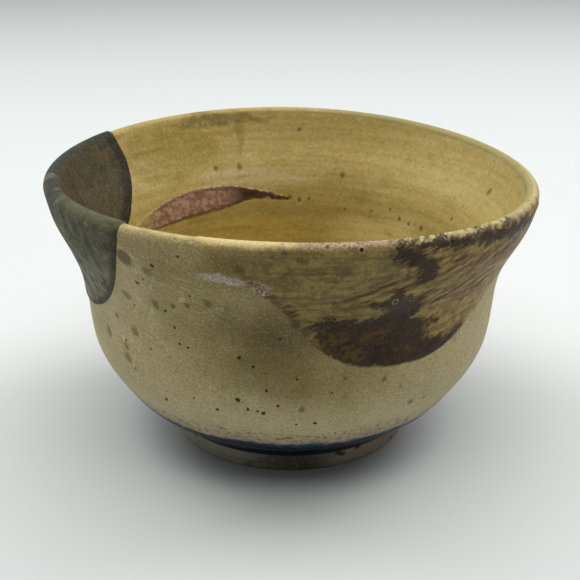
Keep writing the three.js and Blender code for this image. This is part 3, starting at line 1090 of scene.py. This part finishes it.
def dry_strokes(tree, tone, wall, height, edge, dry, slanted, fray):
    """Streaks of brown that slant up to the right, and the brown rim of the patch."""
    ragged = add(tree, TIMES_PLUS, fray, 5, dry)
    streaked = add(tree, FADE, ragged, 1.8, 4)
    rim = add(tree, FADE, edge, 1.8, 0.6)
    low = add(tree, FADE, height, 57, 50)
    rim = add(tree, TIMES, rim, low)
    rows = [
        (slanted, 0.44, 0.58, 0.85, "#573813", streaked),
        (slanted, 0.55, 0.65, 0.9, "#33200f", streaked),
        (slanted, 0.42, 0.3, 0.5, "#a18747", streaked),
        (fray, 0.36, 0.56, 0.7, "#4d3b1f", rim),
        (fray, 0.4, 0.52, 0.8, "#3b2b20", spot(tree, wall, *FAR_RIGHT)),
    ]
    return stains(tree, tone, rows)


# %% [markdown]
# Where the brush was full the iron fired to a purple-brown mass, dull and nearly black, with a greyer
# blob and amber gaps where the ochre came up through it. The stored depth inside the marks is frayed by
# three noises.

# %% Full brush
AMBER_GAPS = [
    (10.8, 44.6, 5.4), (15, 42.6, 5), (21.5, 46.5, 3.6), (28.5, 41, 3.6), (18, 46, 3.4), (7.5, 47, 3.4),
    (34, 46.5, 3),
]
YELLOW_STREAK = ((37.5, 44), (6.5, 2), 0.8, 8)
GREY_BLOB = ((25, 54.5), (7, 5), 0.7)


def iron_mass(tree, wall, grain, slow, grit, fray):
    """The colour of the dense iron."""
    bent = warped(tree, wall, grain, 0.4, 4.5)
    amber = add(tree, NOISE, grain, 0.55, 4, 0.75)
    amber = add(tree, FADE, amber, 0.46, 0.56)
    rows = [
        (slow, 0.42, 0.6, 0.9, "#33271d"),
        (spot(tree, wall, *GREY_BLOB), 0, 1, 0.85, "#443c34"),
        (fray, 0.46, 0.58, 0.8, "#3a2406"),
        (grit, 0.48, 0.7, 0.5, "#52412c"),
        (grit, 0.46, 0.3, 0.6, "#100b05"),
        (spots(tree, bent, AMBER_GAPS, 0.9), 0, 0.8, 0.65, "#5c4515", amber),
        (spot(tree, bent, *YELLOW_STREAK), 0, 0.7, 0.85, "#7c6225", amber),
    ]
    return stains(tree, colour("#25180a"), rows)


def density(tree, degrees, edge, full, slanted, grit, fray):
    """How far the dense iron covers each place."""
    frayed = pile_up(tree, full, [(fray, 5.5), (slanted, 5.5), (grit, 2)])
    loose = add(tree, FADE, degrees, 40, 62, 0, -1.1)
    frayed = add(tree, PLUS, frayed, loose)
    dense = add(tree, FADE, frayed, 5.5, 7.1)
    inside_patch = add(tree, FADE, edge, -0.2, 0.5)
    return add(tree, TIMES, dense, inside_patch)


# %% [markdown]
# The layers are put together in the order in which they lie on the clay. Pits burst through the iron, and
# some have a pale ring.

# %% Iron glaze
IRON_NOISES = [(1.5, 2, 0.7), (0.5, 4, 0.7), (0.17, 3, 0.6)]
PALE_RINGS = [(22.9, 54.9, 1.0), (27.1, 54.8, 0.7), (13.1, 69.1, 0.9)]
IRON_PITS = [
    (22.9, 54.9, 0.5), (27.1, 54.8, 0.45), (9.5, 51.6, 0.4), (8.9, 50.8, 0.4), (33, 68.8, 0.45),
    (31.9, 69.9, 0.35), (13.1, 69.1, 0.45),
]


def iron_glaze(tree):
    """The brushed iron over ochre, by place on the wall and by depth inside the brush marks."""
    tone, _, relief = share_glaze(tree, ochre)
    wall, grain, degrees, height = unrolled(tree, OUTSIDE)
    edge, full, dry = stored(tree, "edge", "full_brush", "dry_brush")
    grit, fray, slow = (add(tree, NOISE, grain, a, b, c) for a, b, c in IRON_NOISES)
    slanted = add(tree, ABOUT_Z, wall, Angle=-math.radians(BRUSH_SLANT))
    slanted = add(tree, PLACE_TIMES, slanted, (0.14, 1, 1))
    slanted = add(tree, NOISE, slanted, 0.85, 3, 0.65)
    tone = iron_wash(tree, tone, wall, degrees, height, edge, slow, grit, fray)
    tone = dry_strokes(tree, tone, wall, height, edge, dry, slanted, fray)
    dense = density(tree, degrees, edge, full, slanted, grit, fray)
    mass = iron_mass(tree, wall, grain, slow, grit, fray)
    tone = add(tree, BLEND, Factor=dense, A=tone, B=mass)
    tone = stain(tree, tone, spots(tree, wall, PALE_RINGS, 0.4), 0, 1, 0.4, "#b3a170")
    pits = spots(tree, wall, IRON_PITS, 0.5)
    tone = stain(tree, tone, pits, 0, 0.8, 1.0, "#171009")
    gloss = add(tree, RANGE, dense, 0, 1, 0.5, 0.6)
    return tone, gloss, pile_up(tree, relief, [(dense, 0.12), (pits, -0.4)])


coat(iron, "brushed iron glaze", iron_glaze)

# %% [markdown]
# ## The ochre glaze inside
# Inside, the glaze is yellower and smoother. The potter's fingers left level bands in it, a warm pinkish
# cloud lies round the brush stroke, and the glaze is paler and more golden lower down. It is a
# group as well, since the stroke lies on it.

# %% Inside glaze
FLECKS = [
    (-25.2, 55.4, 1.2), (-17.1, 55.2, 1.35), (17.9, 53.3, 1.42), (75.8, 60.6, 1.65), (19.9, 43.8, 0.75),
    (37.4, 46.2, 0.75), (41.8, 44.3, 1.05), (51.8, 43.6, 1.35), (65.6, 49.9, 0.9), (2.7, 64.3, 1.05),
    (-0.2, 46.4, 1.2), (3.2, 45.8, 1.2), (6.6, 46.1, 0.9), (46, 43.5, 0.9), (30, 44.5, 0.6),
]
INSIDE_PATCHES = [
    ((-38, 61), (24, 8.5), 0.5, 1, 0.8, "#897631"),
    ((-12, 37), (38, 8), 0.9, 1, 0.7, "#bda152"),
    ((38, 38), (40, 10), 0.9, 1, 0.9, "#d5c486"),
    ((-14, 51.5), (38, 5.5), 0.9, 1, 0.65, "#baa577"),
    ((24, 49.5), (8, 3), 0.9, 1, 0.4, "#8c8249"),
    ((-22, 68.4), (22, 2.2), 0.7, 1, 0.75, "#6c5a2c"),
]
INSIDE_NOISES = [(0.2, 3, 0.6), (1.1, 2, 0.65)]
RUN = ((-16, 64), (1.6, 9), 0.9, 3)


def ochre_inside(tree):
    """The inside's ochre glaze."""
    wall, grain, _, height = unrolled(tree, INSIDE)
    ragged = warped(tree, wall, grain, 0.08, 9)
    broad = add(tree, NOISE, grain, 0.04, 3)
    mottle, grit = (add(tree, NOISE, grain, a, b, c) for a, b, c in INSIDE_NOISES)
    stretched = add(tree, STRETCH, grain, Scale=(0.07, 0.07, 1))
    bands = add(tree, NOISE, stretched, 0.2, 3, 0.6)
    rightwards = add(tree, SPLIT, grain)
    rows = [
        (broad, 0.38, 0.64, 1.0, "#9d8747"),
        (rightwards, 5, 50, 0.7, "#b19f62"),
        (bands, 0.52, 0.72, 0.2, "#b6a467"),
        (bands, 0.46, 0.3, 0.22, "#8b753a"),
    ]
    tone = patches(tree, stains(tree, colour("#a59153"), rows), ragged, INSIDE_PATCHES)
    under_lip = add(tree, TIMES_PLUS, mottle, 2, height)
    away = add(tree, FADE, rightwards, -5, 30)
    rows = [
        (mottle, 0.54, 0.74, 0.4, "#887540"),
        (mottle, 0.44, 0.28, 0.3, "#bda96b"),
        (grit, 0.5, 0.76, 0.3, "#c8b97c"),
        (grit, 0.48, 0.28, 0.35, "#746435"),
        (spot(tree, ragged, *RUN), 0, 1, 0.45, "#6c5d2a"),
        (under_lip, 69.2, 70.2, 0.6, "#7a7747", away),
        (spots(tree, wall, FLECKS, 0.8), 0, 1, 0.7, "#4d3d1c"),
    ]
    rings = add(tree, NOISE, stretched, 0.4, 1)
    gloss = add(tree, RANGE, mottle, 0, 1, 0.38, 0.52)
    relief = pile_up(tree, 0.0, [(rings, 0.3), (mottle, 0.3), (grit, 0.04)])
    return stains(tree, tone, rows), gloss, relief


inside_ochre = glaze_group("ochre glaze inside", ochre_inside)
coat(inner_coat, "ochre ash glaze inside", share_glaze, inside_ochre)

# %% [markdown]
# ## The stroke's finish
# The stroke is thin iron on the inside glaze: a mottled pinkish brown with a darker rim, which fades in
# at its left and ends in a dark dry line.

# %% Stroke glaze
STROKE_ROUGHNESS = 0.6


def stroke_glaze(tree):
    """The brush stroke over the inside glaze."""
    tone, _, relief = share_glaze(tree, inside_ochre)
    _, grain, degrees, _ = unrolled(tree, INSIDE)
    [edge] = stored(tree, "edge")
    mottle = add(tree, NOISE, grain, 0.6, 3, 0.65)
    ragged = add(tree, TIMES_PLUS, mottle, 2.4, edge)
    rim = add(tree, FADE, ragged, 2.8, 1.9)
    rows = [
        (mottle, 0.4, 0.62, 1.0, "#a1806a"),
        (degrees, -25, -15, 1.0, "#33200e"),
        (rim, 0, 1, 0.6, "#563824"),
    ]
    body = stains(tree, colour("#7d5c47"), rows)
    seen = add(tree, FADE, ragged, 1.0, 1.7)
    start = add(tree, FADE, degrees, -66, -48)
    seen = add(tree, TIMES, seen, start)
    tone = add(tree, BLEND, Factor=seen, A=tone, B=body)
    return tone, STROKE_ROUGHNESS, relief


coat(stroke, "iron stroke glaze", stroke_glaze)

# %% [markdown]
# ## The dipped glaze's finish
# The dark glaze fired olive grey and blotched outside, where a pale scratch runs down it, and streaky
# brown inside, where it ran. The two are made apart and told from each other by the stored way across the
# lip.

# %% Both sides of the dipped glaze
SCRATCH = ((-54, 51.5), (0.8, 6), 0.9)


def dip_outside(tree, height, broad, blotch, runs, scratch):
    """Olive grey with dark blotches."""
    rows = [
        (broad, 0.42, 0.6, 0.8, "#66644e"),
        (height, 52, 61, 0.85, "#444630"),
        (blotch, 0.5, 0.6, 0.8, "#2b2b1d"),
        (blotch, 0.44, 0.34, 0.5, "#7d7a63"),
        (runs, 0.54, 0.7, 0.35, "#7a775e"),
        (scratch, 0, 1, 0.7, "#9e9a7a"),
    ]
    return stains(tree, colour("#7a7761"), rows)


def dip_inside(tree, degrees, broad, runs, edge):
    """Streaky brown, and nearly black along its edge."""
    rows = [
        (runs, 0.42, 0.56, 0.9, "#241a0e"),
        (runs, 0.52, 0.62, 0.8, "#59411f"),
        (broad, 0.5, 0.62, 0.5, "#403d26"),
        (degrees, -80, -100, 0.3, "#4b4c35"),
        (edge, 5, 2.6, 0.9, "#1c170d"),
    ]
    return stains(tree, colour("#44361f"), rows)


# %% [markdown]
# Over the lip the glaze is darker, and worn lighter towards the front. Along its outer edge it is darker
# too.

# %% Dipped glaze
DIP_NOISES = [(0.16, 3, 0.6), (1.3, 2, 0.65), (0.3, 4, 0.65)]
CREST_HALF = (2.6, 0.8)


def dip_glaze(tree):
    """The dark glaze, with its outside, its lip and its inside."""
    wall, grain, degrees, height = unrolled(tree, OUTSIDE)
    edge, over = stored(tree, "edge", "across")
    broad, grit, blotch = (add(tree, NOISE, grain, a, b, c) for a, b, c in DIP_NOISES)
    runs = add(tree, STRETCH, grain, Scale=(1, 1, 0.16))
    runs = add(tree, NOISE, runs, 0.3, 3, 0.5)
    scratch = spot(tree, warped(tree, wall, grain, 0.3, 2), *SCRATCH)
    outer = dip_outside(tree, height, broad, blotch, runs, scratch)
    inner = dip_inside(tree, degrees, broad, runs, edge)
    side = add(tree, FADE, over, 0, 3)
    tone = add(tree, BLEND, Factor=side, A=outer, B=inner)
    lower = add(tree, FADE, over, 0, -3)
    wide, narrow = CREST_HALF
    rise = add(tree, FADE, over, -wide, -narrow)
    fall = add(tree, FADE, over, wide, narrow)
    crest = add(tree, TIMES, rise, fall)
    worn = add(tree, FADE, degrees, -66, -48)
    worn = add(tree, TIMES, worn, crest)
    rows = [
        (edge, 1.8, 0.6, 0.7, "#302e21", lower),
        (broad, 0.3, 0.5, 0.95, "#202015", crest),
        (broad, 0.3, 0.6, 0.7, "#5f5c3d", worn),
        (grit, 0.5, 0.74, 0.25, "#767259"),
        (grit, 0.48, 0.28, 0.35, "#1a190f"),
    ]
    rises = [(runs, 0.1), (blotch, 0.4), (broad, 0.5), (grit, 0.05), (scratch, -0.15)]
    gloss = add(tree, RANGE, broad, 0, 1, 0.6, 0.8)
    return stains(tree, tone, rows), gloss, pile_up(tree, 0.0, rises)


coat(dip, "dark dipped glaze", dip_glaze)

# %% [markdown]
# ## The pooled bead
# Thick ash glaze over iron clay goes blue-black and glossy, so the bead is smooth, like the pool just
# above it. It gives the eye a thin wet line above the dry foot.

# %% Bead glaze
BEAD_ROUGHNESS = 0.22
BEAD_SHEEN = 0.15


def bead_glaze(tree):
    """Glossy blue-black pooled glaze."""
    place = add(tree, "ShaderNodeTexCoord", output=OBJECT_PLACE)
    grain = add(tree, SCALED, place, Scale=1 / MM)
    drift = add(tree, NOISE, grain, 0.3, 3)
    tone = stain(tree, colour("#040914"), drift, 0.42, 0.68, 1.0, "#091a3a")
    return tone, BEAD_ROUGHNESS, pile_up(tree, 0.0, [(drift, 0.25)])


coat(bead, "pooled blue-black glaze", bead_glaze, sheen=BEAD_SHEEN)

# %% [markdown]
# ## The bare clay
# The foot is toasted stoneware: matte and sandy, with small dark iron spots, level marks of the turning
# tool and a pinkish flush on the right. Painted light makes the ring paler on its left, and painted shade
# darkens its front. The sand is drawn about half a millimetre wide, coarser than real, to show at all.
# The clay inside the foot has no flush and no painted light or shade.

# %% Bare clay
CLAY_ROUGHNESS = 0.88
CLAY_NOISES = [(0.12, 3, 0.6), (2.0, 2, 0.7)]
BURNT = [((24, 3.6), (4.6, 1.1), 0.7), ((34, 4.4), (4, 1.8), 0.7)]
SHADED = ((3, 2), (28, 9), 0.95)


def bare_clay(tree, flush_light_and_shade):
    """Toasted stoneware, with a share of the pinkish colour, the burnt marks and the painted light and shade.
    """
    wall, grain, degrees, _ = unrolled(tree, OUTSIDE)
    broad, sand = (add(tree, NOISE, grain, a, b, c) for a, b, c in CLAY_NOISES)
    lines = add(tree, STRETCH, grain, Scale=(0.04, 0.04, 1))
    lines = add(tree, NOISE, lines, 1.1, 2, 0.6)
    freckles = add(tree, CELLS, grain, Scale=0.28)
    burnt = ovals(tree, warped(tree, wall, grain, 0.4, 3), BURNT)
    rows = [
        (broad, 0.4, 0.62, 1.0, "#716b5e"),
        (lines, 0.5, 0.7, 0.4, "#5b5446"),
        (degrees, 10, 40, 0.55 * flush_light_and_shade, "#b49c8b"),
        # Painted light: paler towards the left of the foot ring.
        (degrees, -16, -44, 0.6 * flush_light_and_shade, "#c2bca6"),
        # Painted shade over the front of the foot ring.
        (spot(tree, wall, *SHADED), 0, 1, 0.75 * flush_light_and_shade, "#3f3a2e"),
        (sand, 0.54, 0.76, 0.5, "#b6af9c"),
        (sand, 0.44, 0.26, 0.5, "#4a4437"),
        (freckles, 0.16, 0.07, 0.75, "#2b2019"),
        (burnt, 0, 1, 0.85 * flush_light_and_shade, "#33211c"),
    ]
    relief = pile_up(tree, 0.0, [(lines, 0.2), (sand, 0.14)])
    return stains(tree, colour("#8d8878"), rows), CLAY_ROUGHNESS, relief


coat(foot, "bare foot clay", bare_clay, 1.0)
coat(clay_body, "bare body clay", bare_clay, 0.0)

# %% [markdown]
# ## The floor
# A plain pale sheet of paper that is larger than the picture from the photograph's side. It keeps the
# bowl's shadow.

# %% Floor
FLOOR_SIZE = 8.0
PAPER_ROUGHNESS = 0.9
PAPER_SHEEN = 0.2
pick()
bpy.ops.mesh.primitive_plane_add(size=FLOOR_SIZE, location=(0, 0, 0))
floor = bpy.context.object
floor.name = "floor"
paper = new_material("pale paper")
tree = paper.node_tree
inputs = {"Base Color": colour("#cdd0cf"), "Roughness": PAPER_ROUGHNESS, "Specular IOR Level": PAPER_SHEEN}
shader = add(tree, "ShaderNodeBsdfPrincipled", **inputs)
add(tree, "ShaderNodeOutputMaterial", Surface=shader)
floor.data.materials.append(paper)
print("floor:", FLOOR_SIZE, "m wide")

# %% [markdown]
# ## The lights
# The lamps are large and soft, and most of the light comes from above, as over a photographer's table.
# The side of the bowl towards the camera is then darker than its edges and its inside, and the foot
# stands in its own shadow.

# %% Lights
LAMPS_AIM = (0, 0, 0.03)


def softbox(name, place, size, watts):
    """A large square lamp turned towards the bowl."""
    data = bpy.data.lights.new(name, "AREA")
    data.shape = "SQUARE"
    data.size = size
    data.energy = watts
    lamp = bpy.data.objects.new(name, data)
    lamp.location = place
    lamp.rotation_euler = (Vector(LAMPS_AIM) - Vector(place)).to_track_quat("-Z", "Y").to_euler()
    bpy.context.scene.collection.objects.link(lamp)
    print(name, "lamp:", watts, "watts")


softbox("overhead", (0.0, -0.055, 0.95), 1.15, 11.5)
softbox("left_side", (-0.63, 0.33, 0.7), 0.5, 3.3)
softbox("right_side", (0.68, 0.33, 0.7), 0.5, 4.1)

# %% [markdown]
# The world fills the shadows a little. What the camera sees of it, also by reflection or through glass,
# is a pale backdrop, so it can be light without lighting the bowl.

# %% World
CAMERA_RAY, GLOSSY_RAY, TRANSMISSION_RAY = 0, 3, 6
FILL = 0.145
world = bpy.data.worlds.new("studio")
world.use_nodes = True
bpy.context.scene.world = world
tree = world.node_tree
tree.nodes.clear()
seen = 0.0
for ray in (CAMERA_RAY, GLOSSY_RAY, TRANSMISSION_RAY):
    seen = add(tree, MOST, add(tree, "ShaderNodeLightPath", output=ray), seen)
fill = add(tree, "ShaderNodeBackground", colour("#ffffff"), FILL)
backdrop = add(tree, "ShaderNodeBackground", colour("#dadedd"), 1.0)
both = add(tree, "ShaderNodeMixShader", seen, fill, backdrop)
add(tree, "ShaderNodeOutputWorld", Surface=both)
bpy.context.scene.view_settings.view_transform = "Standard"
